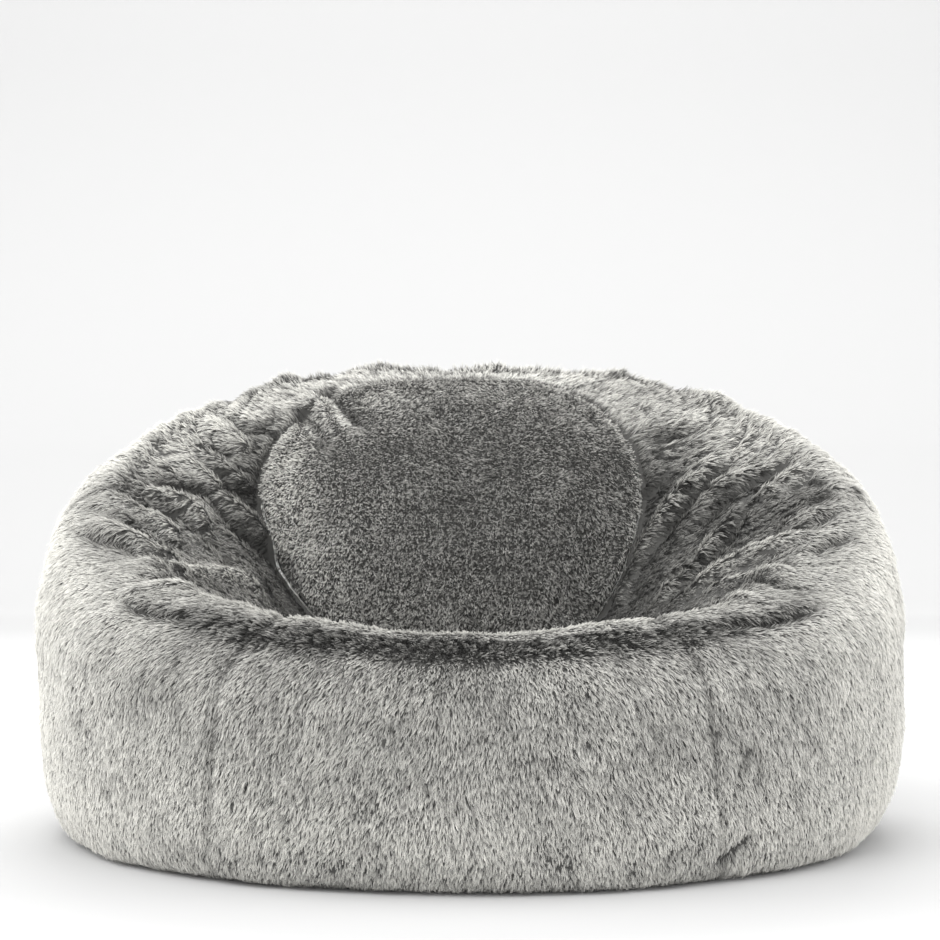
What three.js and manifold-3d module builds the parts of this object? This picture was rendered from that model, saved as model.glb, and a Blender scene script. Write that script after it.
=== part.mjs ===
// Bean bag chair: a round, six-gore faux fur bag with a top disc, pushed in to
// make a seat hollow and a backrest. Millimetres, +Z up, front towards -Y,
// origin on the floor under the middle of the bag.
import * as THREE from "three";
import { mergeVertices } from "three/addons/utils/BufferGeometryUtils.js";
import Module from "manifold-3d";

const wasm = await Module();
wasm.setup();

// ---------------------------------------------------------------- dimensions
const GAP = 0.5; // clearance between touching layers of the base
const WALL_GAP = 1.2; // clearance between touching layers of the walls
const SEAM_GAP = 0.3; // each panel stops this far short of a seam line
const DEPTH_SCALE = 0.965; // the bag is slightly shallower than it is wide
const COLUMNS = 6; // facets across each gore

const COVER_T = 12; // faux fur: knitted backing plus lying pile
const COVER_BASE_T = 8.8; // base cloth with its turned seam allowances
const LINER_T = 1.8; // inner liner cloth
const LINER_BASE_T = 6.4; // liner base with the seam allowances at its zip

const ZIP_HALF = 345; // half length of the zip chain
const CHANNEL_HALF = 357; // half length of the zip opening
const CHANNEL_Y = 17; // half width of the zip opening
const TAPE_T = 0.8;
const COIL_IN = 0.6; // inner edge of each coil, from the zip centre line
const COIL_OUT = 3.3;
const SLIDER_X = 322; // slider centre when the zip is closed

const FUR = { color: 0x8c8b89, roughness: 0.95, metalness: 0 };
const FUR_DARK = { color: 0x6f6e6d, roughness: 0.95, metalness: 0 };
const BASE_CLOTH = { color: 0x3b3b3e, roughness: 0.9, metalness: 0 };
const LINER_CLOTH = { color: 0xe6e4de, roughness: 0.85, metalness: 0 };
const BEADS = { color: 0xf7f7f4, roughness: 0.8, metalness: 0 };
const TAPE = { color: 0x2d2d30, roughness: 0.85, metalness: 0 };
const COIL = { color: 0x242427, roughness: 0.5, metalness: 0 };
const NICKEL = { color: 0xb9b9bb, roughness: 0.3, metalness: 1 };

// Rings of the bag from the floor up over the crest, as [radius, height] at
// 0, 30, ... 180 degrees from the front. The bag is the same left and right
// here, and its crest rises from the front rim to the back.
const OUTER_RINGS = [
  // edge of the base
  [[470, 0], [478, 0], [484, 0], [484, 0], [476, 0], [470, 0], [468, 0]],
  // lower corner
  [[503, 12], [508, 12], [513, 12], [514, 12], [508, 12], [503, 12], [503, 12]],
  [[528, 48], [530, 48], [534, 48], [536, 48], [532, 48], [528, 48], [526, 48]],
  [[542, 105], [543, 105], [546, 108], [549, 110], [546, 115], [543, 120], [541, 120]],
  // widest line
  [[548, 170], [549, 175], [552, 190], [555, 210], [553, 235], [550, 260], [548, 270]],
  // shoulder
  [[537, 222], [540, 235], [546, 272], [551, 325], [545, 390], [532, 440], [522, 450]],
  [[500, 262], [503, 275], [510, 318], [525, 400], [518, 476], [503, 545], [484, 556]],
  // crest: front rim, arms, top of the back
  [[430, 284], [430, 301], [432, 345], [462, 440], [462, 524], [456, 590], [438, 602]],
];
// Seam of the top disc, which is the backrest: points every 30 degrees from
// its lowest point, going round by the +X side. It sits a little to -X.
const DISC_SEAM = [
  [-20, 118, 195], [105, 124, 212], [192, 145, 305], [230, 185, 425],
  [205, 255, 515], [130, 335, 572], [-5, 372, 586], [-145, 335, 575],
  [-245, 255, 520], [-280, 185, 430], [-232, 145, 305], [-142, 124, 212],
];
const DISC_CENTRE = new THREE.Vector3(-22, 158, 435);
const DISC_NORMAL = new THREE.Vector3(0, -0.823, 0.5675);
const DISC_BULGE = 90;
// How far the seat sags between the crest and the disc, at 0 ... 180 degrees.
const SEAT_SAG = [60, 50, 6, -4, -4, -3, 0];
const SEAT_STEPS = [0.22, 0.5, 0.78];

// ------------------------------------------------------------ the bag's form
const sideIndex = (k) => (k <= 6 ? k : 12 - k);
const rings = OUTER_RINGS.map((ring) =>
  Array.from({ length: 12 }, (_, k) => {
    const [r, z] = ring[sideIndex(k)];
    const a = (k * Math.PI) / 6;
    return new THREE.Vector3(r * Math.sin(a), -r * Math.cos(a) * DEPTH_SCALE, z);
  }),
);
const crest = rings[rings.length - 1];
const discSeam = DISC_SEAM.map((p) => new THREE.Vector3(...p));
for (const t of SEAT_STEPS)
  rings.push(
    crest.map((c, k) => {
      const p = c.clone().lerp(discSeam[k], t);
      p.z -= SEAT_SAG[sideIndex(k)] * 4 * t * (1 - t);
      return p;
    }),
  );
rings.push(discSeam);
const DISC_ROW = rings.length - 1;
for (const rho of [0.75, 0.5, 0.25])
  rings.push(
    discSeam.map((p) =>
      DISC_CENTRE.clone()
        .lerp(p, rho)
        .addScaledVector(DISC_NORMAL, DISC_BULGE * rho * (1 - rho)),
    ),
  );
rings.push(discSeam.map(() => DISC_CENTRE.clone()));
const LAST_ROW = rings.length - 1;

// Point of one ring at any angle: a closed Catmull-Rom curve.
function onRing(ring, degrees) {
  const t = (((degrees % 360) + 360) % 360) / 30;
  const i = Math.floor(t);
  const f = t - i;
  const [a, b, c, d] = [-1, 0, 1, 2].map((k) => ring[(i + k + 12) % 12]);
  const out = new THREE.Vector3();
  for (const x of ["x", "y", "z"])
    out[x] =
      0.5 *
      (2 * b[x] +
        (c[x] - a[x]) * f +
        (2 * a[x] - 5 * b[x] + 4 * c[x] - d[x]) * f * f +
        (3 * b[x] - a[x] - 3 * c[x] + d[x]) * f * f * f);
  return out;
}

// Point of the outer surface: angle from the front, and row from the floor.
function surface(degrees, row) {
  const s = Math.min(Math.floor(row), LAST_ROW - 1);
  const u = row - s;
  const b = onRing(rings[s], degrees);
  const c = onRing(rings[s + 1], degrees);
  const a = s > 0 ? onRing(rings[s - 1], degrees) : b.clone().multiplyScalar(2).sub(c);
  const d =
    s + 2 <= LAST_ROW ? onRing(rings[s + 2], degrees) : c.clone().multiplyScalar(2).sub(b);
  const gap = (p, q) => Math.sqrt(Math.max(p.distanceTo(q), 1e-3));
  const t1 = gap(a, b);
  const t2 = t1 + gap(b, c);
  const t3 = t2 + gap(c, d);
  const t = t1 + (t2 - t1) * u;
  const mix = (p, q, tp, tq) =>
    p.clone().multiplyScalar((tq - t) / (tq - tp)).addScaledVector(q, (t - tp) / (tq - tp));
  const A1 = mix(a, b, 0, t1);
  const A2 = mix(b, c, t1, t2);
  const A3 = mix(c, d, t2, t3);
  return mix(mix(A1, A2, 0, t2), mix(A2, A3, t1, t3), t1, t2);
}

// Outward normal of that surface. The base is flat, so at its edge it is -Z.
function normal(degrees, row) {
  if (row <= 0) return new THREE.Vector3(0, 0, -1);
  if (row >= LAST_ROW) return DISC_NORMAL.clone();
  const around = surface(degrees + 1.5, row).sub(surface(degrees - 1.5, row));
  const up = surface(degrees, Math.min(row + 0.06, LAST_ROW - 0.01)).sub(
    surface(degrees, row - 0.06),
  );
  return around.cross(up).normalize();
}

// Depth below the outer surface of each layer, by row: the layers are thicker
// in the flat base than in the walls.
const step = (row, atBase, atWall) =>
  row >= 2 ? atWall : atBase + ((atWall - atBase) * row) / 2;
const coverIn = (row) => step(row, COVER_BASE_T, COVER_T);
const linerOut = (row) => coverIn(row) + step(row, GAP, WALL_GAP);
const linerIn = (row) => linerOut(row) + step(row, LINER_BASE_T, LINER_T);
const fillOut = (row) => linerIn(row) + step(row, GAP, WALL_GAP);

// The six seams, from the front round by +X. The front panel widens a little
// towards the floor.
const ROW_ANGLE_RIGHT = [35.5, 34.6, 33, 31.5, 30.2, 29.3, 29.5, 30, 30, 30, 30, 30];
const ROW_ANGLE_LEFT = [36.5, 35.6, 34.4, 33.2, 32, 31.4, 30.8, 30, 30, 30, 30, 30];
function seamAngle(seam, row) {
  const i = Math.min(Math.floor(row), DISC_ROW - 1);
  const f = row - i;
  const pick = (list) => list[i] * (1 - f) + list[i + 1] * f;
  if (seam === 0) return pick(ROW_ANGLE_RIGHT);
  if (seam === 5) return 360 - pick(ROW_ANGLE_LEFT);
  return 30 + 60 * seam;
}
const ROWS = [0, 1, 2, 3, 4, 4.5, 5, 5.5, 6, 6.5, 7, 7.5, 8, 9, 10, 11];
const DISC_ROWS = [11, 12, 13, 14];

// ------------------------------------------------------------ mesh building
function geometryOf(points, faces) {
  const g = new THREE.BufferGeometry();
  g.setAttribute(
    "position",
    new THREE.Float32BufferAttribute(
      faces.flatMap((f) => f.flatMap((i) => points[i].toArray())),
      3,
    ),
  );
  g.computeVertexNormals();
  return g;
}

// A closed plate between two grids of the same size, outer facing out.
function plate(outer, inner) {
  const m = outer.length;
  const n = outer[0].length;
  const points = [...outer.flat(), ...inner.flat()];
  const o = (i, j) => i * n + j;
  const q = (i, j) => m * n + i * n + j;
  const faces = [];
  const quad = (a, b, c, d) => faces.push([a, b, c], [a, c, d]);
  for (let i = 0; i + 1 < m; i++)
    for (let j = 0; j + 1 < n; j++) {
      quad(o(i, j), o(i, j + 1), o(i + 1, j + 1), o(i + 1, j));
      quad(q(i, j), q(i + 1, j), q(i + 1, j + 1), q(i, j + 1));
    }
  // the inner quads above are split on the same diagonal as the outer ones
  for (let k = 0, f = 0; f < faces.length; f += 4, k++) {
    const [a, , c] = faces[f + 2];
    const b = faces[f + 2][1];
    const d = faces[f + 3][2];
    faces[f + 2] = [a, b, c];
    faces[f + 3] = [a, c, d];
  }
  for (let j = 0; j + 1 < n; j++) {
    quad(o(0, j), q(0, j), q(0, j + 1), o(0, j + 1));
    quad(o(m - 1, j), o(m - 1, j + 1), q(m - 1, j + 1), q(m - 1, j));
  }
  for (let i = 0; i + 1 < m; i++) {
    quad(o(i, 0), o(i + 1, 0), q(i + 1, 0), q(i, 0));
    quad(o(i, n - 1), q(i, n - 1), q(i + 1, n - 1), o(i + 1, n - 1));
  }
  return geometryOf(points, faces);
}

// Angle of one column of a gore. Gores 6 and 7 are 0 and 1 again, a turn later.
function columnAngle(gore, column, row) {
  const seam = (g) => seamAngle((g + 6) % 6, row) + 360 * Math.floor(g / 6);
  const a = seam(gore - 1);
  return a + ((seam(gore) - a) * column) / COLUMNS;
}

// Grid of one gore, or of several side by side, at a depth under the surface.
function goreGrid(first, last, depth) {
  const list = [];
  for (let g = first; g <= last; g++)
    for (let c = g === first ? 0 : 1; c <= COLUMNS; c++) list.push([g, c]);
  return ROWS.map((row) =>
    list.map(([g, c], k) => {
      const at = columnAngle(g, c, row);
      const out = normal(at, row);
      const p = surface(at, row).addScaledVector(out, -depth(row));
      if (k === 0 || k === list.length - 1) {
        const [lo, hi] = [Math.max(row - 0.1, 0), Math.min(row + 0.1, DISC_ROW)];
        const along = surface(columnAngle(g, c, hi), hi).sub(surface(columnAngle(g, c, lo), lo));
        p.addScaledVector(along.cross(out).normalize(), k === 0 ? SEAM_GAP : -SEAM_GAP);
      }
      return p;
    }),
  );
}
const gorePanel = (first, last, from, to) =>
  plate(goreGrid(first, last, from), goreGrid(first, last, to));

// Angles of all the columns at one row, once round.
function ringAngles(row) {
  const out = [];
  for (let g = 0; g < 6; g++)
    for (let c = 0; c < COLUMNS; c++) out.push(columnAngle(g, c, row));
  return out;
}

// Rings of points that close on themselves, from the disc's seam to its middle.
function discRings(depth, inset) {
  return DISC_ROWS.map((row) =>
    ringAngles(DISC_ROW).map((at) => {
      const p = surface(at, row).addScaledVector(normal(at, row), -depth(row));
      if (row === DISC_ROW && inset) {
        const away = surface(at, row + 0.2).sub(surface(at, row)).normalize();
        p.addScaledVector(away, inset);
      }
      return p;
    }),
  );
}

function discPanel(from, to) {
  const outer = discRings(from, 2 * SEAM_GAP);
  const inner = discRings(to, 2 * SEAM_GAP);
  const n = outer[0].length;
  const m = outer.length;
  const points = [...outer.flat(), ...inner.flat()];
  points.push(DISC_CENTRE.clone().addScaledVector(DISC_NORMAL, -from(20)));
  points.push(DISC_CENTRE.clone().addScaledVector(DISC_NORMAL, -to(20)));
  const top = 2 * m * n;
  const faces = [];
  const o = (i, j) => i * n + (j % n);
  const q = (i, j) => m * n + i * n + (j % n);
  for (let j = 0; j < n; j++) {
    for (let i = 0; i + 1 < m; i++) {
      faces.push([o(i, j), o(i, j + 1), o(i + 1, j + 1)], [o(i, j), o(i + 1, j + 1), o(i + 1, j)]);
      faces.push([q(i, j), q(i + 1, j + 1), q(i, j + 1)], [q(i, j), q(i + 1, j), q(i + 1, j + 1)]);
    }
    faces.push([o(m - 1, j), o(m - 1, j + 1), top]);
    faces.push([q(m - 1, j), top + 1, q(m - 1, j + 1)]);
    faces.push([o(0, j), q(0, j), q(0, j + 1)], [o(0, j), q(0, j + 1), o(0, j + 1)]);
  }
  return geometryOf(points, faces);
}

// The heap of beads: one closed solid that fills the liner.
function fillSolid(depth) {
  const rows = [...ROWS, ...DISC_ROWS.slice(1)];
  const grid = rows.map((row) =>
    ringAngles(Math.min(row, DISC_ROW)).map((at) =>
      surface(at, row).addScaledVector(normal(at, row), -depth(row)),
    ),
  );
  const n = grid[0].length;
  const m = grid.length;
  const points = grid.flat();
  const top = points.push(DISC_CENTRE.clone().addScaledVector(DISC_NORMAL, -depth(20))) - 1;
  const bottom = points.push(new THREE.Vector3(0, 0, depth(0))) - 1;
  const faces = [];
  const o = (i, j) => i * n + (j % n);
  for (let j = 0; j < n; j++) {
    for (let i = 0; i + 1 < m; i++)
      faces.push([o(i, j), o(i, j + 1), o(i + 1, j + 1)], [o(i, j), o(i + 1, j + 1), o(i + 1, j)]);
    faces.push([o(m - 1, j), o(m - 1, j + 1), top]);
    faces.push([o(0, j + 1), o(0, j), bottom]);
  }
  return geometryOf(points, faces);
}

// Half of a base: a flat plate cut back along the zip. side is -1 at the front.
function basePlate(side, z0, thick) {
  const angles = ringAngles(0)
    .map((a) => ((a % 360) + 360) % 360)
    .map((a) => (a > 180 ? a - 360 : a))
    .filter((a) => (side < 0 ? Math.abs(a) <= 90.01 : Math.abs(a) >= 89.99));
  const from = (a) => (side < 0 ? a : a < 0 ? a + 360 : a);
  angles.sort((a, b) => from(a) - from(b));
  const rim = angles.map((a) => {
    const p = surface(a, 0);
    const r = Math.hypot(p.x, p.y);
    p.multiplyScalar((r - 2 * SEAM_GAP) / r);
    if (Math.abs(p.y) < 1) p.y = side * SEAM_GAP;
    return new THREE.Vector2(p.x, p.y);
  });
  // front: the rim runs from -X to +X, back: from +X to -X
  const s = side < 0 ? 1 : -1;
  const shape = new THREE.Shape([
    ...rim,
    new THREE.Vector2(s * CHANNEL_HALF, side * SEAM_GAP),
    new THREE.Vector2(s * CHANNEL_HALF, side * CHANNEL_Y),
    new THREE.Vector2(-s * CHANNEL_HALF, side * CHANNEL_Y),
    new THREE.Vector2(-s * CHANNEL_HALF, side * SEAM_GAP),
  ]);
  return new THREE.ExtrudeGeometry(shape, { depth: thick, bevelEnabled: false }).translate(0, 0, z0);
}

// Long straight strip of a rounded or square section, along X.
function strip(section, x0, x1) {
  const g = new THREE.ExtrudeGeometry(new THREE.Shape(section), {
    depth: x1 - x0,
    bevelEnabled: false,
  });
  // the section's x becomes Y and its y becomes Z
  const m = new THREE.Matrix4().makeBasis(
    new THREE.Vector3(0, 1, 0),
    new THREE.Vector3(0, 0, 1),
    new THREE.Vector3(1, 0, 0),
  );
  return g.applyMatrix4(m).translate(x0, 0, 0);
}
const V2 = (x, y) => new THREE.Vector2(x, y);
const roundSection = (y0, y1, z0, z1, n = 10) =>
  Array.from({ length: n }, (_, i) => {
    const a = (2 * Math.PI * (i + 0.5)) / n;
    const flat = 1 / Math.cos(Math.PI / n);
    return V2(
      (y0 + y1) / 2 + Math.max(-1, Math.min(1, Math.cos(a) * flat)) * ((y1 - y0) / 2),
      (z0 + z1) / 2 + Math.max(-1, Math.min(1, Math.sin(a) * flat)) * ((z1 - z0) / 2),
    );
  });
const boxSection = (y0, y1, z0, z1) => [V2(y0, z0), V2(y1, z0), V2(y1, z1), V2(y0, z1)];

function manifoldOf(geometry) {
  const g = geometry.index ? geometry.toNonIndexed() : geometry.clone();
  g.deleteAttribute("normal");
  g.deleteAttribute("uv");
  const merged = mergeVertices(g, 1e-4);
  return new wasm.Manifold(
    new wasm.Mesh({
      numProp: 3,
      vertProperties: merged.attributes.position.array,
      triVerts: new Uint32Array(merged.index.array),
    }),
  );
}
function geometryFrom(solid) {
  const mesh = solid.getMesh();
  const points = [];
  for (let i = 0; i < mesh.vertProperties.length; i += 3)
    points.push(new THREE.Vector3(...mesh.vertProperties.slice(i, i + 3)));
  const faces = [];
  for (let i = 0; i < mesh.triVerts.length; i += 3)
    faces.push([...mesh.triVerts.slice(i, i + 3)]);
  return geometryOf(points, faces);
}
const joined = (...parts) => geometryFrom(parts.map(manifoldOf).reduce((a, b) => a.add(b)));
const flatPiece = (outline, z0, z1, holes = []) => {
  const shape = new THREE.Shape(outline);
  for (const h of holes) shape.holes.push(new THREE.Path(h));
  return new THREE.ExtrudeGeometry(shape, { depth: z1 - z0, bevelEnabled: false }).translate(0, 0, z0);
};
const box = (x0, x1, y0, y1, z0, z1) =>
  new THREE.BoxGeometry(x1 - x0, y1 - y0, z1 - z0).translate((x0 + x1) / 2, (y0 + y1) / 2, (z0 + z1) / 2);
const rounded = (x0, x1, y0, y1, r, n = 4) => {
  const out = [];
  for (const [cx, cy, a0] of [
    [x1 - r, y1 - r, 0],
    [x0 + r, y1 - r, 90],
    [x0 + r, y0 + r, 180],
    [x1 - r, y0 + r, 270],
  ])
    for (let i = 0; i <= n; i++) {
      const a = ((a0 + (90 * i) / n) * Math.PI) / 180;
      out.push(V2(cx + r * Math.cos(a), cy + r * Math.sin(a)));
    }
  return out;
};

// ------------------------------------------------------------------- the zip
// Heights within the zip, above its lowest point: bridge, pull, lower plate,
// coil, tape, upper plate.
const PULL_AXIS = 2.2;
// Outline of a slider plate: narrow where the closed chain leaves it, and
// wide at the nose, where the two chains part.
const platePlan = [
  V2(-6.25, -3.7), V2(-5.6, -4.5), V2(4.4, -4.9), V2(5.7, -4.2), V2(6.25, -2.8),
  V2(5.9, 0), V2(6.25, 2.8), V2(5.7, 4.2), V2(4.4, 4.9), V2(-5.6, 4.5), V2(-6.25, 3.7),
];
function sliderBody(zBase, bridge) {
  const z = (h) => zBase + h;
  const parts = [
    flatPiece(platePlan, z(3.0), z(4.1)), // lower plate
    flatPiece(platePlan, z(7.7), z(8.6)), // upper plate
    box(2.6, 5.4, -0.3, 0.3, z(4.05), z(7.75)), // post between the two chains
    box(-5.6, 5.0, 3.6, 4.4, z(4.05), z(6.3)), // side flanges
    box(-5.6, 5.0, -4.4, -3.6, z(4.05), z(6.3)),
  ];
  if (bridge)
    parts.push(
      box(-3.7, -2.5, -0.9, 0.9, z(0.8), z(3.05)),
      box(2.5, 3.7, -0.9, 0.9, z(0.8), z(3.05)),
      box(-3.7, 3.7, -0.9, 0.9, z(0.8), z(1.35)),
    );
  return joined(...parts);
}
// Pull tab: lies along -X from its round crossbar, with a slot for the bridge
// and a grip hole near its end.
const CROSSBAR_R = 0.55;
const pullTab = () => {
  const outline = rounded(-24.5, 0, -3.2, 3.2, 1.2).filter((p) => p.x < -1.3);
  outline.push(V2(0, -3.2), V2(0, 3.2));
  return joined(
    flatPiece(outline, PULL_AXIS - CROSSBAR_R, PULL_AXIS + CROSSBAR_R, [
      rounded(-6.4, -CROSSBAR_R, -1.7, 1.7, 0.5).reverse(),
      rounded(-22, -12, -1.6, 1.6, 1.5).reverse(),
    ]),
    new THREE.CylinderGeometry(CROSSBAR_R, CROSSBAR_R, 6.4, 24).translate(0, 0, PULL_AXIS),
  );
};

// ------------------------------------------------------------------ assembly
const group = new THREE.Group();
function add(name, geometry, look, x = 0, y = 0, z = 0) {
  const mesh = new THREE.Mesh(geometry, new THREE.MeshStandardMaterial(look));
  mesh.name = name;
  mesh.position.set(x, y, z);
  group.add(mesh);
}

const zero = () => 0;
const PANELS = [
  "front_panel",
  "front_right_panel",
  "rear_right_panel",
  "rear_panel",
  "rear_left_panel",
  "front_left_panel",
];
PANELS.forEach((name, g) => add(name, gorePanel(g, g, zero, coverIn), FUR));
add("top_disc_panel", discPanel(zero, coverIn), FUR_DARK);
add("base_panel_front", basePlate(-1, 0, COVER_BASE_T), BASE_CLOTH);
add("base_panel_rear", basePlate(1, 0, COVER_BASE_T), BASE_CLOTH);

const LINER_Z = COVER_BASE_T + GAP;
const LINER_ZIP_Z = LINER_Z - 2.6; // the liner zip has no bridge and no pull
for (const [prefix, base] of [["", 0], ["liner_", LINER_ZIP_Z]]) {
  for (const [side, s] of [["front", -1], ["rear", 1]]) {
    const span = (a, b) => (s < 0 ? [-b, -a] : [a, b]);
    add(
      `${prefix}zip_tape_${side}`,
      strip(boxSection(...span(0.7, CHANNEL_Y - 0.3), base + 6.6, base + 6.6 + TAPE_T), 0.3 - CHANNEL_HALF, CHANNEL_HALF - 0.3),
      TAPE,
    );
    add(
      `${prefix}zip_coil_${side}`,
      strip(roundSection(...span(COIL_IN, COIL_OUT), base + 4.4, base + 6.3), -ZIP_HALF, ZIP_HALF),
      COIL,
    );
  }
}
add("zip_slider_body", sliderBody(0, true), NICKEL, SLIDER_X, 0, 0);
add("zip_pull_tab", pullTab(), NICKEL, SLIDER_X, 0, 0);
for (const [side, s] of [["left", -1], ["right", 1]])
  add(
    `zip_end_stop_${side}`,
    flatPiece(rounded(-2, 2, -3.6, 3.6, 0.8, 2), 4.2, 6.3),
    NICKEL,
    s * (ZIP_HALF + 2.4),
    0,
    0,
  );
add("liner_zip_slider", sliderBody(LINER_ZIP_Z, false), NICKEL, -SLIDER_X, 0, 0);

add("liner_base_front", basePlate(-1, LINER_Z, LINER_BASE_T), LINER_CLOTH);
add("liner_base_rear", basePlate(1, LINER_Z, LINER_BASE_T), LINER_CLOTH);
add("liner_wall_rear", gorePanel(2, 4, linerOut, linerIn), LINER_CLOTH);
add("liner_wall_front", gorePanel(5, 7, linerOut, linerIn), LINER_CLOTH);
add("liner_top_panel", discPanel(linerOut, linerIn), LINER_CLOTH);
add("bead_fill", fillSolid(fillOut), BEADS);

export default group;
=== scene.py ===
import math

import bpy
import numpy as np
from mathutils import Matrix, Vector


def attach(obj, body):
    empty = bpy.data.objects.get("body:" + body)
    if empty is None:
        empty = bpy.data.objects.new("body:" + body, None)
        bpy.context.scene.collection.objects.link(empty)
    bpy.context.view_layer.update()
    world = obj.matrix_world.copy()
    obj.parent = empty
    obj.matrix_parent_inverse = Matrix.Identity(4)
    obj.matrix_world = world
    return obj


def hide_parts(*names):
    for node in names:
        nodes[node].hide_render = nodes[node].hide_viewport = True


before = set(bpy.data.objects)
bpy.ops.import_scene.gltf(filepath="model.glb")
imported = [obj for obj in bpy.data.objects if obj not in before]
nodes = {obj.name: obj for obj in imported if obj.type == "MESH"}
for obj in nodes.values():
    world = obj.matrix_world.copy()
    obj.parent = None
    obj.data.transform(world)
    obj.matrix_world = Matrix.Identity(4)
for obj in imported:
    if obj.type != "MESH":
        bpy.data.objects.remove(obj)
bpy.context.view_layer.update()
scene = bpy.context.scene

# ------------------------------------------------------------ the bag's form
# The same rings as the CAD, in metres: (radius, height) at 0, 30 ... 180
# degrees from the front, row by row from the floor to the crest.
DEPTH_SCALE = 0.965
OUTER = np.array(
    [
        [(470, 0), (478, 0), (484, 0), (484, 0), (476, 0), (470, 0), (468, 0)],
        [(503, 12), (508, 12), (513, 12), (514, 12), (508, 12), (503, 12), (503, 12)],
        [(528, 48), (530, 48), (534, 48), (536, 48), (532, 48), (528, 48), (526, 48)],
        [(542, 105), (543, 105), (546, 108), (549, 110), (546, 115), (543, 120), (541, 120)],
        [(548, 170), (549, 175), (552, 190), (555, 210), (553, 235), (550, 260), (548, 270)],
        [(537, 222), (540, 235), (546, 272), (551, 325), (545, 390), (532, 440), (522, 450)],
        [(500, 262), (503, 275), (510, 318), (525, 400), (518, 476), (503, 545), (484, 556)],
        [(430, 284), (430, 301), (432, 345), (462, 440), (462, 524), (456, 590), (438, 602)],
    ],
    float,
)
DISC_SEAM = (
    np.array(
        [
            (-20, 118, 195), (105, 124, 212), (192, 145, 305), (230, 185, 425),
            (205, 255, 515), (130, 335, 572), (-5, 372, 586), (-145, 335, 575),
            (-245, 255, 520), (-280, 185, 430), (-232, 145, 305), (-142, 124, 212),
        ],
        float,
    )
    / 1000
)
DISC_CENTRE = np.array((-0.022, 0.158, 0.435))
DISC_NORMAL = np.array((0, -0.823, 0.5675))
DISC_NORMAL = DISC_NORMAL / np.linalg.norm(DISC_NORMAL)
SEAT_SAG = np.array((60, 50, 6, -4, -4, -3, 0), float) / 1000
SIDE = [k if k <= 6 else 12 - k for k in range(12)]
DISC_ROW, LAST_ROW = 11, 15


def control_rings():
    out = []
    for ring in OUTER:
        pts = []
        for k in range(12):
            r, z = ring[SIDE[k]]
            a = math.radians(30 * k)
            pts.append((r * math.sin(a), -r * math.cos(a) * DEPTH_SCALE, z))
        out.append(np.array(pts) / 1000)
    crest = out[-1]
    for t in (0.22, 0.5, 0.78):
        p = crest * (1 - t) + DISC_SEAM * t
        p[:, 2] -= SEAT_SAG[SIDE] * 4 * t * (1 - t)
        out.append(p)
    out.append(DISC_SEAM)
    for rho in (0.75, 0.5, 0.25):
        out.append(DISC_CENTRE + (DISC_SEAM - DISC_CENTRE) * rho + DISC_NORMAL * 0.09 * rho * (1 - rho))
    out.append(np.repeat(DISC_CENTRE[None], 12, 0))
    return np.array(out)


NT, PER = 720, 30  # samples round the bag, and samples per row


def surface_table():
    rings = control_rings()
    t = np.arange(NT) / NT * 12
    i = np.floor(t).astype(int)
    f = (t - i)[:, None]
    a, b, c, d = (rings[:, (i + k) % 12] for k in (-1, 0, 1, 2))
    rings = 0.5 * (2 * b + (c - a) * f + (2 * a - 5 * b + 4 * c - d) * f**2 + (3 * b - a - 3 * c + d) * f**3)
    n = len(rings)
    out = []
    for s in range(n - 1):
        b, c = rings[s], rings[s + 1]
        a = rings[s - 1] if s else 2 * b - c
        d = rings[s + 2] if s + 2 < n else 2 * c - b
        gap = lambda p, q: np.sqrt(np.maximum(np.linalg.norm(q - p, axis=1, keepdims=True), 1e-6))
        t1 = gap(a, b)
        t2 = t1 + gap(b, c)
        t3 = t2 + gap(c, d)
        for j in range(PER):
            t = t1 + (t2 - t1) * j / PER
            mix = lambda p, q, tp, tq: p * (tq - t) / (tq - tp) + q * (t - tp) / (tq - tp)
            A1, A2, A3 = mix(a, b, 0, t1), mix(b, c, t1, t2), mix(c, d, t2, t3)
            out.append(mix(mix(A1, A2, 0, t2), mix(A2, A3, t1, t3), t1, t2))
    out.append(rings[-1])
    return np.array(out)


def unit(v):
    return v / np.maximum(np.linalg.norm(v, axis=-1, keepdims=True), 1e-12)


POINTS = surface_table()
AROUND = np.roll(POINTS, -1, 1) - np.roll(POINTS, 1, 1)
UPWARD = np.gradient(POINTS, axis=0)
NORMALS = unit(np.cross(AROUND, UPWARD))
NORMALS[-12:] = DISC_NORMAL
NORMALS[0] = (0, 0, -1)
NORMALS[1:4] = unit(NORMALS[1:4] + NORMALS[4] * np.array([0.3, 1, 3])[:, None, None])


def look(table, degrees, row):
    """Value of a table at angles and rows, between its samples."""
    x = np.mod(degrees, 360) * (NT / 360)
    y = np.clip(row * PER, 0, table.shape[0] - 1.0001)
    i, j = np.floor(y).astype(int), np.floor(x).astype(int) % NT
    u, v = (y - np.floor(y)), (x - np.floor(x))
    if table.ndim == 3:
        u, v = u[..., None], v[..., None]
    k = (j + 1) % NT
    return (table[i, j] * (1 - v) + table[i, k] * v) * (1 - u) + (table[i + 1, j] * (1 - v) + table[i + 1, k] * v) * u


# ------------------------------------------------------------------- noise
def lattice(ix, iy, iz, seed):
    h = (
        ix.astype(np.int64) * 374761393
        + iy.astype(np.int64) * 668265263
        + iz.astype(np.int64) * 2147483647
        + seed * 1274126177
    ) & 0xFFFFFFFF
    h = ((h ^ (h >> 13)) * 1274126177) & 0xFFFFFFFF
    h = ((h ^ (h >> 16)) * 2246822519) & 0xFFFFFFFF
    h = h ^ (h >> 15)
    return (h & 0xFFFFFF) / float(0xFFFFFF) * 2 - 1


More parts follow.
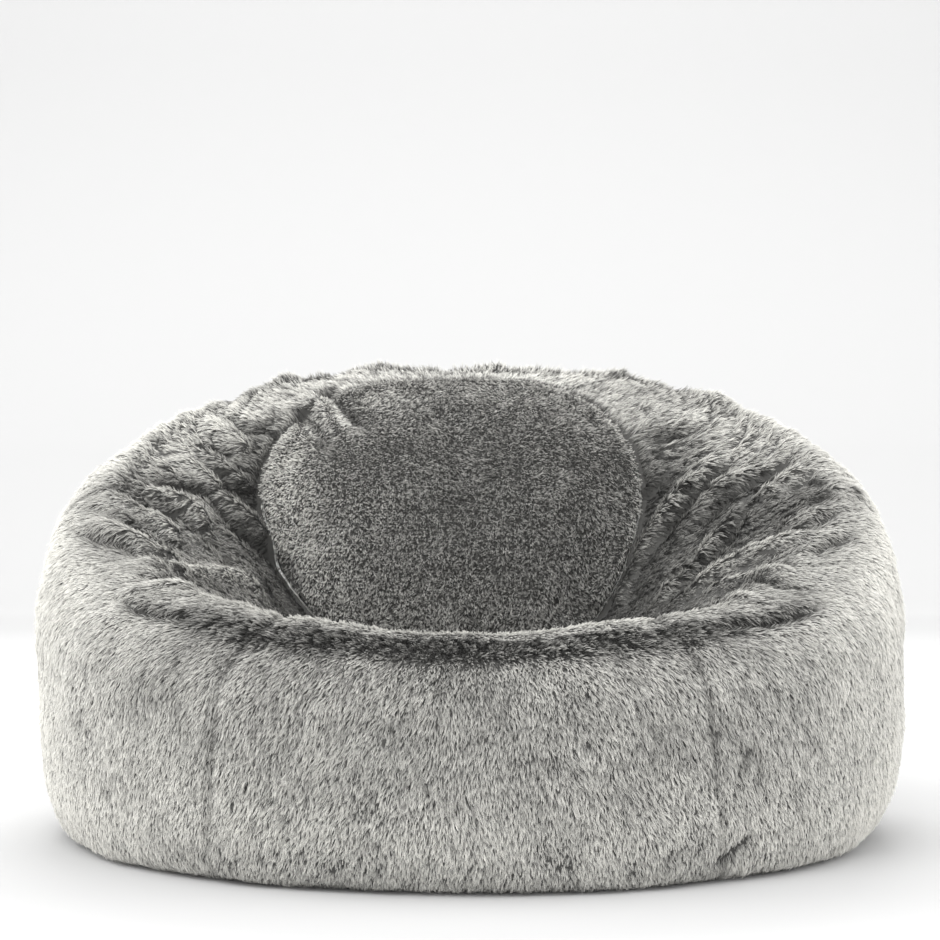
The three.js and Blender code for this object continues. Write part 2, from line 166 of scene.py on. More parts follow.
def noise(p, size, seed):
    """Smooth noise from -1 to 1 at points p, with features of that size."""
    q = p / size
    i = np.floor(q)
    f = q - i
    f = f * f * (3 - 2 * f)
    ix, iy, iz = (i[..., k].astype(np.int64) for k in range(3))
    out = 0
    for dx in (0, 1):
        wx = f[..., 0] if dx else 1 - f[..., 0]
        for dy in (0, 1):
            wy = f[..., 1] if dy else 1 - f[..., 1]
            for dz in (0, 1):
                wz = f[..., 2] if dz else 1 - f[..., 2]
                out = out + wx * wy * wz * lattice(ix + dx, iy + dy, iz + dz, seed)
    return out


# ------------------------------------------------------------------- folds
# Fold lines of the cover as (angle, row): how it lies in ridges and valleys.
# kind, height in mm, half width in mm, points.
FOLDS = [
    # left arm, ridges
    (1, 7, 10, [(-59.0, 6.17), (-55.5, 6.54), (-53, 6.96), (-50, 7.3)]),
    (1, 11, 12, [(-66, 6.6), (-64.5, 7.08), (-63.5, 8.08), (-63.0, 8.83), (-62.0, 9.38), (-58.0, 9.67), (-53.5, 9.83)]),
    (1, 10, 11, [(-83.0, 6.46), (-78.5, 6.79), (-73.5, 7.12), (-69.5, 7.58), (-66.5, 8.21), (-65, 8.71)]),
    (1, 9, 13, [(-89.0, 6.79), (-83.5, 7.54), (-79.5, 8.12), (-74.5, 8.42), (-73.5, 8.58)]),
    (1, 10, 11, [(-93.5, 7.54), (-88.5, 8.25), (-85.5, 8.71), (-82.0, 9.08), (-78.0, 9.29), (-74.5, 9.46)]),
    (1, 10, 12, [(-103.0, 8.58), (-97.5, 9.17), (-91.5, 9.67), (-85.5, 10.04), (-81.5, 10.5), (-76.5, 10.96), (-71.5, 11.17)]),
    (1, 8, 10, [(-107.0, 8.54), (-100.5, 9.5), (-97.0, 10.0), (-92.5, 10.5), (-89.5, 10.79)]),
    (1, 12, 16, [(-118.5, 7.88), (-116.0, 8.75), (-111.5, 9.5), (-106.0, 10.08), (-102.5, 10.42)]),
    # left arm, valleys
    (-1, 10, 9, [(-56.5, 6.17), (-48.5, 6.25), (-39.5, 6.42)]),
    (-1, 8, 7, [(-62.0, 6.71), (-59, 7.08), (-59.5, 8.25)]),
    (-1, 12, 8, [(-83.0, 6.25), (-76.0, 6.62), (-72.5, 6.92), (-68.0, 7.17), (-65.8, 7.58), (-65.0, 8.21)]),
    (-1, 9, 8, [(-85.0, 6.67), (-79.0, 7.38), (-76.0, 8.0), (-72.0, 8.25), (-69.5, 8.75)]),
    (-1, 12, 9, [(-94.0, 6.83), (-87.5, 7.58), (-83.0, 8.21), (-81.0, 8.75), (-77.0, 9.08), (-72.0, 9.33), (-67.5, 9.5), (-62.5, 9.67)]),
    (-1, 15, 10, [(-98.5, 7.5), (-94.0, 8.21), (-92.0, 8.88), (-89.5, 9.5), (-85.0, 9.79), (-79.5, 10.08), (-74.0, 10.54), (-68.5, 10.96), (-64.0, 11.0), (-56.5, 11.04), (-48.5, 11.08)]),
    (-1, 10, 8, [(-101.5, 9.08), (-98.0, 9.62), (-94.5, 10.04), (-89.5, 10.46), (-86.0, 10.71), (-80.5, 10.88), (-76.5, 11.0)]),
    (-1, 7, 7, [(-108.5, 8.54), (-106.0, 9.38), (-104.5, 9.88), (-101.5, 10.33)]),
    (-1, 10, 10, [(-126.5, 8.0), (-120.5, 9.17), (-116.5, 9.79), (-117.5, 10.25), (-123.0, 10.29)]),
    # right arm, ridges
    (1, 8, 7, [(53.0, 9.67), (59.0, 9.58), (65.5, 9.38), (72.0, 9.25), (77.5, 9.12), (85.0, 8.96)]),
    (1, 12, 13, [(65.5, 11.04), (70.0, 10.92), (76.0, 10.62), (84.0, 10.38), (90.0, 10.08), (96.0, 9.67), (102.5, 9.17), (108.5, 8.58)]),
    (1, 9, 10, [(78.5, 10.04), (84.0, 9.75), (89.0, 9.54), (93.5, 9.17), (95.5, 8.83), (99.0, 8.29), (106.5, 7.54)]),
    (1, 6, 8, [(79.5, 10.5), (86.5, 10.33), (96.0, 10.12)]),
    (1, 7, 8, [(90.0, 11.04), (94.5, 10.79), (97.0, 10.12)]),
    (1, 11, 12, [(54.5, 9.33), (59.0, 9.08), (63.0, 8.88), (66.0, 8.54), (69.0, 8.17), (70.5, 7.79), (72.5, 7.46), (75.0, 7.0), (79, 6.5)]),
    (1, 8, 10, [(73.0, 8.12), (77.5, 7.79), (80.5, 7.33), (83.5, 6.96)]),
    (1, 11, 16, [(87.5, 8.62), (89.5, 8.29), (93.0, 7.88), (97.5, 7.25)]),
    (1, 7, 10, [(88.0, 7.25), (89.0, 6.83), (94.5, 6.29)]),
    (1, 8, 10, [(56, 9.0), (59.0, 8.5), (60, 8.08), (61, 7.08), (65, 6.62)]),
    (1, 6, 8, [(48, 8.8), (49, 8.2), (49, 7.08), (52, 6.5)]),
    (1, 7, 10, [(80.5, 10.42), (69.5, 10.75), (58.5, 10.79), (49.5, 10.38)]),
    (1, 7, 9, [(78.0, 11.12), (65.0, 11.2), (55.0, 11.2), (49.0, 11.08)]),
    # right arm, valleys
    (-1, 14, 8, [(54.0, 9.5), (62.5, 9.28), (70.0, 9.1), (76.5, 8.95), (85.5, 8.8)]),
    (-1, 12, 9, [(62.5, 10.83), (73.5, 10.54), (79.0, 10.29), (87.0, 9.96), (93.5, 9.58), (99.5, 9.17), (104.5, 8.79)]),
    (-1, 11, 8, [(76.0, 9.92), (82.5, 9.46), (89.0, 9.12), (94.5, 8.58), (97.5, 8.17), (103.0, 7.54)]),
    (-1, 9, 8, [(72.0, 8.0), (74.5, 7.58), (79.0, 7.08), (83.5, 6.88)]),
    (-1, 8, 8, [(69.5, 7.04), (73.5, 6.79), (79.0, 6.42)]),
    (-1, 7, 8, [(84.0, 7.62), (85.5, 7.29), (88.0, 6.92)]),
    (-1, 8, 7, [(57.0, 8.42), (56.5, 7.75), (57, 6.88), (60, 6.33)]),
    (-1, 12, 10, [(33.5, 6.7), (38.5, 6.5), (43.5, 6.3), (50.5, 6.2), (57.0, 6.1)]),
    (-1, 8, 8, [(88.5, 11.04), (94.5, 10.67), (96.0, 10.17)]),
    (-1, 9, 10, [(111.5, 10.83), (114.5, 10.0), (116.5, 9.38), (121.5, 8.54)]),
    # the fold in the upper left of the disc
    (1, 11, 17, [(-138.0, 10.4), (-133.0, 10.92), (-121.5, 12.04), (-111.0, 12.8)]),
    (-1, 11, 11, [(-131.0, 10.6), (-128.5, 10.92), (-119.5, 11.75), (-108.0, 12.55)]),
    (-1, 10, 11, [(-139.5, 11.0), (-137.5, 11.29), (-134.0, 12.0), (-130.0, 12.6)]),
    (-1, 9, 8, [(-134.0, 10.46), (-139.5, 10.42), (-146.0, 9.96)]),
    (-1, 6, 5, [(8.5, 12.12), (8.0, 11.96), (7.5, 11.83)]),
    # puckers of the front wall
    (-1, 3, 7, [(35.0, 2.67), (34.5, 3.21), (35.0, 3.54), (36.0, 3.71), (37.0, 3.5), (38.0, 3.0), (39.0, 2.58)]),
    (-1, 4, 7, [(39.0, 2.25), (36.5, 2.0), (34.5, 1.54), (33.0, 1.12)]),
    (-1, 5, 7, [(-111.5, 6.83), (-109.0, 7.46), (-108.0, 7.88)]),
    # gentle folds where the cover gathers behind and outside the arms
    (1, 8, 22, [(128, 8.2), (131, 7.3), (132, 6.2), (130, 5.2)]),
    (-1, 6, 14, [(138, 8.0), (140, 7.0), (141, 5.9), (139, 5.0)]),
    (1, 7, 20, [(149, 7.9), (153, 6.6), (155, 5.4)]),
    (-1, 6, 13, [(160, 7.9), (162, 6.8), (166, 5.7)]),
    (1, 6, 20, [(172, 7.7), (176, 6.4), (177, 5.0)]),
    (-1, 6, 14, [(187, 7.8), (184, 6.6), (186, 5.3)]),
    (1, 7, 20, [(196, 7.8), (195, 6.5), (192, 5.3)]),
    (-1, 6, 13, [(205, 7.9), (204, 6.7), (200, 5.7)]),
    (1, 8, 22, [(217, 8.1), (215, 7.0), (214, 5.7)]),
    (-1, 6, 14, [(228, 8.0), (226, 6.9), (224, 5.6)]),
    (-1, 5, 14, [(101, 6.3), (106, 5.2), (104, 4.2)]),
    (1, 6, 20, [(112, 6.6), (115, 5.4), (112, 4.0)]),
    (-1, 5, 14, [(-97, 6.2), (-101, 5.1), (-99, 4.0)]),
    (1, 6, 20, [(-118, 6.6), (-114, 5.3), (-116, 4.2)]),
]


def curve_through(points, per=10):
    p = np.array(points, float)
    p = np.vstack([2 * p[0] - p[1], p, 2 * p[-1] - p[-2]])
    out = []
    for s in range(1, len(p) - 2):
        a, b, c, d = p[s - 1], p[s], p[s + 1], p[s + 2]
        for f in np.arange(per) / per:
            out.append(
                0.5 * (2 * b + (c - a) * f + (2 * a - 5 * b + 4 * c - d) * f**2 + (3 * b - a - 3 * c + d) * f**3)
            )
    out.append(p[-2])
    return np.array(out)


def fold_tables():
    """How far the cover stands out or in, and how deep in a valley each spot is."""
    high = np.zeros(POINTS.shape[:2])
    low = np.zeros(POINTS.shape[:2])
    for kind, mm, wide, line in FOLDS:
        c = curve_through(line)
        at = look(POINTS, c[:, 0], c[:, 1])
        reach = 3.2 * wide / 1000
        near = np.all((POINTS > at.min(0) - reach) & (POINTS < at.max(0) + reach), axis=2)
        # the same place in space can be on the far side of the arm
        rows = np.arange(POINTS.shape[0]) / PER
        near &= ((rows > c[:, 1].min() - 0.9) & (rows < c[:, 1].max() + 0.9))[:, None]
        q = POINTS[near]
        d = np.linalg.norm(q[:, None, :] - at[None], axis=2)
        k = d.argmin(1)
        d = d.min(1)
        along = k / (len(at) - 1)
        taper = np.clip(np.minimum(along, 1 - along) / 0.32, 0, 1)
        taper = 0.08 + 0.92 * taper * taper * (3 - 2 * taper)
        h = mm / 1000 * (1.2 if kind > 0 else 1.5) * taper * np.exp(-((d / (wide / 1000 * (1 if kind > 0 else 1.2))) ** 2))
        target = high if kind > 0 else low
        target[near] = np.maximum(target[near], h)
    # many small gathers run the same way as the big folds
    rows = (np.arange(POINTS.shape[0]) / PER)[:, None] + np.zeros((1, NT))
    signed = np.mod(np.arange(NT)[None] * (360 / NT) + 180, 360) - 180 + np.zeros_like(rows)
    run = np.radians(np.abs(signed) + 10 * rows) * 0.45 + np.where(signed > 0, 3.0, 0)
    q = np.stack([run, rows * 0.0105, 0.02 * np.sign(signed)], -1)
    fine = 0.7 * noise(q, 0.017, 12) + 0.5 * noise(q, 0.010, 13)
    on = np.exp(-(((np.abs(signed) - 80) / 46) ** 4)) * np.exp(-(((rows - 8.8) / 2.3) ** 4))
    back = np.exp(-(((np.abs(signed) - 180) / 75) ** 4)) * np.exp(-(((rows - 7.2) / 1.5) ** 4))
    fine = fine * (0.0042 * on + 0.0026 * back)
    return high + np.clip(fine, 0, None), low + np.clip(-fine, 0, None)


HIGH, LOW = fold_tables()


def seam_distance(deg, row):
    """Distance in metres, roughly, to the nearest of the six seams."""
    d = np.full(np.shape(deg), 9.0)
    for s in range(6):
        a = seam_angle(s, row)
        off = np.abs(np.mod(deg - a + 180, 360) - 180)
        d = np.minimum(d, off)
    radius = np.linalg.norm(look(POINTS, deg, row)[..., :2], axis=-1)
    return np.radians(d) * radius


ROW_RIGHT = np.array([35.5, 34.6, 33, 31.5, 30.2, 29.3, 29.5, 30, 30, 30, 30, 30])
ROW_LEFT = np.array([36.5, 35.6, 34.4, 33.2, 32, 31.4, 30.8, 30, 30, 30, 30, 30])


def seam_angle(seam, row):
    r = np.clip(row, 0, DISC_ROW)
    if seam == 0:
        return np.interp(r, np.arange(12), ROW_RIGHT)
    if seam == 5:
        return 360 - np.interp(r, np.arange(12), ROW_LEFT)
    return np.zeros(np.shape(row)) + 30 + 60 * seam


def lift_tables():
    rows = (np.arange(POINTS.shape[0]) / PER)[:, None] + np.zeros((1, NT))
    degs = np.zeros((POINTS.shape[0], 1)) + np.arange(NT)[None] * (360 / NT)
    soft = 0.0035 * noise(POINTS, 0.16, 3) + 0.0028 * noise(POINTS, 0.07, 5) + 0.0012 * noise(POINTS, 0.03, 8)
    seam = seam_distance(degs, rows)
    wall = np.where(rows < DISC_ROW + 0.02, 1.0, 0.0)
    groove = 0.0050 * np.exp(-((seam / 0.0065) ** 2)) * wall
    swell = 0.003 * np.clip(seam / 0.12, 0, 1) * np.where(rows < 6.5, 1, 0.3)
    disc_edge = (rows - DISC_ROW) * 0.06
    signed = np.mod(degs + 180, 360) - 180
    lower = np.clip(1.25 - np.abs(signed) / 125, 0.22, 1) + 0.25 * np.exp(-(((signed + 100) / 30) ** 2))
    rim = 0.0065 * lower * np.exp(-(((disc_edge + 0.002) / 0.006) ** 2))
    pillow = 0.006 * lower * np.exp(-(((disc_edge - 0.016) / 0.012) ** 2)) + 0.003 * lower * np.exp(-(((disc_edge + 0.018) / 0.012) ** 2))
    base = np.clip(rows / 1.2, 0, 1)
    signed = np.mod(degs + 180, 360) - 180
    edge = 0.0075 * np.exp(-((signed / 44) ** 4)) * np.exp(-(((rows - 7.1) / 0.34) ** 2))
    shoulder = 0.009 * np.exp(-(((np.abs(signed) - 113) / 27) ** 4)) * np.exp(-(((rows - 6.7) / 0.85) ** 2))
    lift = (shoulder + edge + HIGH - LOW + soft - groove + swell * wall - rim + pillow) * base
    return lift, groove + rim


LIFT, SEAM_DIP = lift_tables()
FOLDED = POINTS + NORMALS * LIFT[..., None]
FOLDED_NORMALS = unit(np.cross(np.roll(FOLDED, -1, 1) - np.roll(FOLDED, 1, 1), np.gradient(FOLDED, axis=0)))
FOLDED_NORMALS[-16:] = DISC_NORMAL
FOLDED_NORMALS[0] = (0, 0, -1)
FOLDED_NORMALS[1:4] = NORMALS[1:4]


def depth_of(row, at_base, at_wall):
    return at_base + (at_wall - at_base) * np.clip(row / 2, 0, 1)


def layer(deg, row, at_base, at_wall):
    """Points of one layer of the cover, liner or filling, with the folds."""
    n = look(NORMALS, deg, row)
    n = unit(n)
    d = depth_of(row, at_base, at_wall) / 1000 - look(LIFT, deg, row)
    p = look(POINTS, deg, row) - n * d[..., None]
    p[..., 2] = np.maximum(p[..., 2], 0.0006)
    return p, unit(look(FOLDED_NORMALS, deg, row))


# -------------------------------------------------------------- mesh helpers
def new_mesh(name, verts, quads=None, tris=None, uvs=None, smooth=True):
    """Object from arrays. uvs is one pair per corner, quads first."""
    quads = np.zeros((0, 4), np.int32) if quads is None else np.asarray(quads, np.int32)
    tris = np.zeros((0, 3), np.int32) if tris is None else np.asarray(tris, np.int32)
    me = bpy.data.meshes.new(name)
    me.vertices.add(len(verts))
    me.vertices.foreach_set("co", np.asarray(verts, np.float32).ravel())
    loops = np.concatenate([quads.ravel(), tris.ravel()])
    me.loops.add(len(loops))
    me.loops.foreach_set("vertex_index", loops)
    starts = np.concatenate([np.arange(len(quads)) * 4, 4 * len(quads) + np.arange(len(tris)) * 3])
    me.polygons.add(len(starts))
    me.polygons.foreach_set("loop_start", starts.astype(np.int32))
    me.update(calc_edges=True)
    if uvs is not None:
        layer_uv = me.uv_layers.new(name="OFBake")
        layer_uv.data.foreach_set("uv", np.asarray(uvs, np.float32).ravel())
    me.polygons.foreach_set("use_smooth", np.full(len(starts), smooth))
    me.validate()
    o = bpy.data.objects.new(name, me)
    scene.collection.objects.link(o)
    return o


def grid_quads(m, n, offset=0, close=False, flip=False):
    i, j = np.meshgrid(np.arange(m - 1), np.arange(n if close else n - 1), indexing="ij")
    k = (j + 1) % n
    q = np.stack([i * n + j, i * n + k, (i + 1) * n + k, (i + 1) * n + j], -1).reshape(-1, 4) + offset
    return q[:, ::-1] if flip else q


def shell_quads(m, n, close=False):
    """Closed plate between two m by n grids, the outer one first."""
    out = [grid_quads(m, n, 0, close), grid_quads(m, n, m * n, close, True)]
    N = m * n
    j = np.arange(n if close else n - 1)
    k = (j + 1) % n
    out.append(np.stack([j, N + j, N + k, k], -1))
    top = (m - 1) * n
    out.append(np.stack([top + j, top + k, N + top + k, N + top + j], -1))
    if not close:
        i = np.arange(m - 1)
        out.append(np.stack([i * n, (i + 1) * n, N + (i + 1) * n, N + i * n], -1))
        e = i * n + n - 1
        out.append(np.stack([e, N + e, N + e + n, e + n], -1))
    return np.vstack(out)


# ------------------------------------------------------------------- colours
def socket(node, *names):
    for n in names:
        if n in node.inputs:
            return node.inputs[n]
    raise KeyError(names)


def material(name, roughness=0.8, metallic=0.0):
    m = bpy.data.materials.new(name)
    m.use_nodes = True
    b = m.node_tree.nodes["Principled BSDF"]
    b.inputs["Roughness"].default_value = roughness
    b.inputs["Metallic"].default_value = metallic
    return m, m.node_tree, b


def ramp(tree, source, stops, interpolation="LINEAR"):
    r = tree.nodes.new("ShaderNodeValToRGB")
    r.color_ramp.interpolation = interpolation
    e = r.color_ramp.elements
    while len(e) < len(stops):
        e.new(0.5)
    for el, (pos, col) in zip(e, stops):
        el.position = pos
        el.color = (*col, 1) if len(col) == 3 else col
    tree.links.new(source, r.inputs[0])
    return r.outputs["Color"]


def mix(tree, factor, a, b, kind="MIX"):
    n = tree.nodes.new("ShaderNodeMix")
    n.data_type = "RGBA"
    n.blend_type = kind
    for s, v in ((n.inputs[0], factor), (n.inputs[6], a), (n.inputs[7], b)):
        if hasattr(v, "links"):
            tree.links.new(v, s)
        else:
            s.default_value = v if isinstance(v, (int, float)) else (*v, 1)
    return n.outputs[2]


def grey(v, warm=0.012):
    return (v * (1 + warm), v, v * (1 - 4.3 * warm))


# Tip colours of the pile, from the darkest tufts to the lightest.
TIPS = [(0.0, grey(0.022)), (0.25, grey(0.16)), (0.5, grey(0.45)), (0.75, grey(0.76)), (1.0, grey(0.95))]
ROOT = grey(0.032)


def fur_material(name, root_end, mid):
    """Pile: dark at the root and lighter towards the tip. The map's u runs from
    root to tip and its v is how light the tuft is."""
    m, t, b = material(name, 0.88)
    uv = t.nodes.new("ShaderNodeUVMap")
    uv.uv_map = "OFBake"
    xyz = t.nodes.new("ShaderNodeSeparateXYZ")
    t.links.new(uv.outputs[0], xyz.inputs[0])
    tip = ramp(t, xyz.outputs[1], TIPS)
    k = ramp(t, xyz.outputs[0], [(0.0, (0, 0, 0)), (root_end, grey(0.22, 0)), (mid, grey(0.75, 0)), (1.0, (1, 1, 1))])
    col = mix(t, k, ROOT, tip)
    t.links.new(col, b.inputs["Base Color"])
    b.inputs["Sheen Weight"].default_value = 0.12
    b.inputs["Sheen Roughness"].default_value = 0.5
    b.inputs["Specular IOR Level"].default_value = 0.12
    return m


def hair_material(name):
    m, t, b = material(name, 0.75)
    info = t.nodes.new("ShaderNodeHairInfo")
    att = t.nodes.new("ShaderNodeAttribute")
    att.attribute_name = "tint"
    tip = ramp(t, att.outputs["Fac"], TIPS)
    k = ramp(t, info.outputs["Intercept"], [(0.0, grey(0.02, 0)), (0.25, grey(0.25, 0)), (0.6, grey(0.8, 0)), (1.0, (1, 1, 1))])
    col = mix(t, k, ROOT, tip)
    t.links.new(col, b.inputs["Base Color"])
    b.inputs["Specular IOR Level"].default_value = 0.12
    b.inputs["Sheen Weight"].default_value = 0.05
    through = t.nodes.new("ShaderNodeBsdfTranslucent")
    t.links.new(col, through.inputs[0])
    both = t.nodes.new("ShaderNodeMixShader")
    both.inputs[0].default_value = 0.3
    t.links.new(b.outputs[0], both.inputs[1])
    t.links.new(through.outputs[0], both.inputs[2])
    t.links.new(both.outputs[0], t.nodes["Material Output"].inputs["Surface"])
    return m


FUR = fur_material("faux_fur_pile", 0.18, 0.5)
FUR_DISC = fur_material("faux_fur_disc_pile", 0.25, 0.6)
HAIR = hair_material("faux_fur_strands")


# ----------------------------------------------------------------- the pile
def gaps(p, nap, size, reach, seed, cover=0.35):
    """Gaps between clumps of pile, drawn out along the nap, darkened with painted
    shade: 0 on a clump and up to 1 inside a gap."""
    v = 0
    for s in (-1.5, -0.5, 0.5, 1.5):
        v = v + noise(p + nap * (s * reach), size, seed)
    v = (v - v.mean()) / v.std()
    return np.clip((v - cover) / 0.65, 0, 1)


def specks(p, cell, radius, seed):
    """Evenly scattered dark dots: 1 at the middle of a dot and 0 between dots."""
    q = p / cell
    base = np.floor(q).astype(np.int64)
    best = np.full(len(p), 9.0)
    for k in range(27):
        at = base + np.array([k % 3 - 1, k // 3 % 3 - 1, k // 9 - 1])
        spot = np.stack([0.5 + 0.38 * lattice(at[:, 0], at[:, 1], at[:, 2], seed + j) for j in range(3)], -1)
        best = np.minimum(best, np.linalg.norm(at + spot - q, axis=1))
    return np.clip(1.6 - 1.6 * best * cell / radius, 0, 1)


def pile_field(deg, row, p, n, disc):
    """Nap direction, length, rise and lightness of the pile at some spots. The lightness holds the pile's own tone and
    painted light and shade.
    """
    eps_r, eps_a = 0.03, 0.4
    down = unit(look(FOLDED, deg, row - eps_r) - look(FOLDED, deg, row + eps_r))
    down = unit(down - n * (down * n).sum(-1, keepdims=True))
    side = np.cross(n, down)
    signed = np.mod(deg + 180, 360) - 180
    rise = look(LIFT, deg, row)
    dip = look(SEAM_DIP, deg, row)
    high, low = look(HIGH, deg, row), look(LOW, deg, row)
    blotch = noise(p, 0.055, 21) * 0.6 + noise(p, 0.022, 22) * 0.5 + noise(p, 0.12, 23) * 0.4
    if disc:
        swirl = noise(p, 0.05, 31) * 1.3 + noise(p, 0.015, 32) * 1.1
        drop = unit(np.array([0.0, 0, -1]) - n * (np.array([0.0, 0, -1]) * n).sum(-1, keepdims=True))
        across = np.cross(n, drop)
        nap = unit(drop * np.cos(swirl)[:, None] + across * np.sin(swirl)[:, None] + drop * 0.4)
        light = 0.515 + 0.07 * blotch + 0.05 * noise(p, 0.0042, 35)
        # painted light: the disc's pile is lighter towards its left side, where the light falls
        light = light + 0.08 * np.clip((-0.04 - p[:, 0]) / 0.14, -0.2, 1)
        dark = specks(p * np.array([1, 0.8, 1.15]), 0.0054, 0.0030, 36)
        light = light - dark * 0.52
        # painted highlight on the ridges of the disc's fold and painted shade in its valleys
        light = light + 8 * high - 24 * low
        # painted highlight: a light band along the left edge of the disc, and painted light over the top of the disc
        left_highlight_band = np.exp(-(((signed + 92) / 40) ** 4)) * np.exp(-(((row - 11.2) / 0.75) ** 2))
        light = light + 0.38 * left_highlight_band + 0.10 * np.clip((p[:, 2] - 0.48) / 0.08, 0, 1)
        # painted highlight: a thin light line along the disc's seam on the right
        right_highlight_line = np.exp(-(((signed - 115) / 48) ** 4)) * np.exp(-(((row - 11.08) / 0.09) ** 2))
        light = light + 0.28 * right_highlight_line
        length = (0.0056 + 0.0008 * noise(p, 0.03, 33)) * (1 - 0.5 * dark)
        angle = np.radians(58 + 12 * noise(p, 0.02, 34))
        part = 0 * light
    else:
        lean = np.clip(np.sin(np.radians(signed)) * 0.9, -0.34, 0.34) * np.clip(1 - np.abs(signed) / 120, 0.25, 1)
        wander = 0.16 * noise(p, 0.09, 41) + 0.14 * noise(p, 0.03, 42)
        turn = lean + wander
        nap = unit(down * np.cos(turn)[:, None] + side * np.sin(turn)[:, None])
        front = np.exp(-((signed / 46) ** 4))
        part = front * np.exp(-(((row - 6.45) / 0.36) ** 4))
        seat = np.clip((row - 7.0) / 1.0, 0, 1)
        rough = 1 + 0.8 * seat + 1.6 * part
        arm = np.exp(-(((np.abs(signed) - 70) / 38) ** 4)) * seat
        valley = np.clip(low / 0.014, 0, 1.3)
        light = 0.625 + 0.11 * blotch
        # painted highlight on the fold ridges, painted shade in the fold valleys and in the seam grooves
        light = light + (0.13 + 0.17 * arm) * np.clip(high / 0.011, 0, 1.2) ** 1.5 - 0.52 * valley - 46 * dip * np.clip(row / 7, 0.5, 1)
        # clumps: small ones all over, and wider ones where the pile parts
        light = light + 0.055 * rough * noise(p, 0.0036, 46) + 0.16 * part * noise(p * np.array([0.35, 1, 1]), 0.0045, 47)
        # the pile parts just under the front rim, where it gets painted shade, and a painted highlight runs along the
        # rim's crest
        light = light + front * 0.11 * np.exp(-(((row - 7.1) / 0.16) ** 2)) - 0.33 * part
        # painted shade inside the arms; below, painted shade in the hollows and painted light on the upper back, the
        # shoulders, the lower wall and the sides
        light = light - arm * np.where(signed > 0, 0.29, 0.11)
        # painted shade in the hollows where the arms meet the disc
        well_shade = np.exp(-(((np.abs(signed) - 66) / 34) ** 4)) * np.exp(-(((row - 10.9) / 0.8) ** 2))
        light = light - np.where(signed > 0, 0.14, 0.30) * well_shade
        # painted light: the upper back is made lighter, applied a few lines below
        back = np.clip((np.abs(signed) - 115) / 30, 0, 1) * seat
        # painted shade in the gaps between clumps, strongest in the valleys, the arms, the parting and the hollows
        dark = gaps(p, nap, 0.0044, 0.0032, 48)
        dark = dark * np.clip(0.17 + 0.8 * seat * (0.25 + arm) + 0.5 * valley * seat + 0.8 * part + 0.4 * well_shade - 0.15 * np.clip((np.abs(signed) - 50) / 30, 0, 1) * (1 - seat), 0, 1)
        light = light - 0.70 * dark + 0.11 * back + 0.02 + 0.04 * seat * arm
        # painted light on the tops of the shoulders of the arms
        upper = np.exp(-(((np.abs(signed) - 112) / 18) ** 4)) * np.exp(-(((row - 7.8) / 1.6) ** 4))
        light = light + np.where(signed > 0, 0.19, 0.25) * upper
        # painted shade on the inner slope of the right arm, behind the rim
        light = light - 0.11 * np.exp(-(((signed - 88) / 16) ** 2)) * np.exp(-(((row - 7.4) / 0.6) ** 2))
        # painted light at the back left of the top, as over the rest of the upper back
        light = light + 0.06 * np.exp(-(((signed + 140) / 18) ** 2)) * seat
        # painted light on the lower wall, and a little darker right at the floor
        light = light + 0.22 * np.exp(-(((row - 2.0) / 1.4) ** 2)) - 0.03 * np.exp(-((row / 0.5) ** 2))
        # painted light on the sides of the wall, toward the outline
        light = light + np.where(signed > 0, 0.25, 0.27) * np.clip((np.abs(signed) - 40) / 36, 0, 1) * np.clip((160 - np.abs(signed)) / 45, 0.15, 1) * np.clip((6.6 - row) / 0.6, 0, 1)
        length = (0.0095 + 0.0015 * noise(p, 0.05, 43)) * (1 - 0.4 * dark)
        angle = np.radians(20 + 8 * noise(p, 0.03, 44) + 34 * part)
    return nap, length, angle, light, part


def scatter(seed, count, grid_deg, grid_row):
    """Evenly scattered (angle, row) spots over a panel, by area."""
    rng = np.random.default_rng(seed)
    p = look(POINTS, grid_deg, grid_row)
    a = np.linalg.norm(np.cross(p[1:, :-1] - p[:-1, :-1], p[:-1, 1:] - p[:-1, :-1]), axis=-1)
    flat = np.cumsum(a.ravel())
    t = (np.arange(count) + rng.random(count)) / count * flat[-1]
    cell = np.minimum(np.searchsorted(flat, t), len(flat) - 1)
    i, j = np.unravel_index(cell, a.shape)
    u, v = rng.random(count), rng.random(count)
    f = lambda g: (g[i, j] * (1 - v) + g[i, j + 1] * v) * (1 - u) + (g[i + 1, j] * (1 - v) + g[i + 1, j + 1] * v) * u
    return f(grid_deg), f(grid_row), rng, flat[-1]


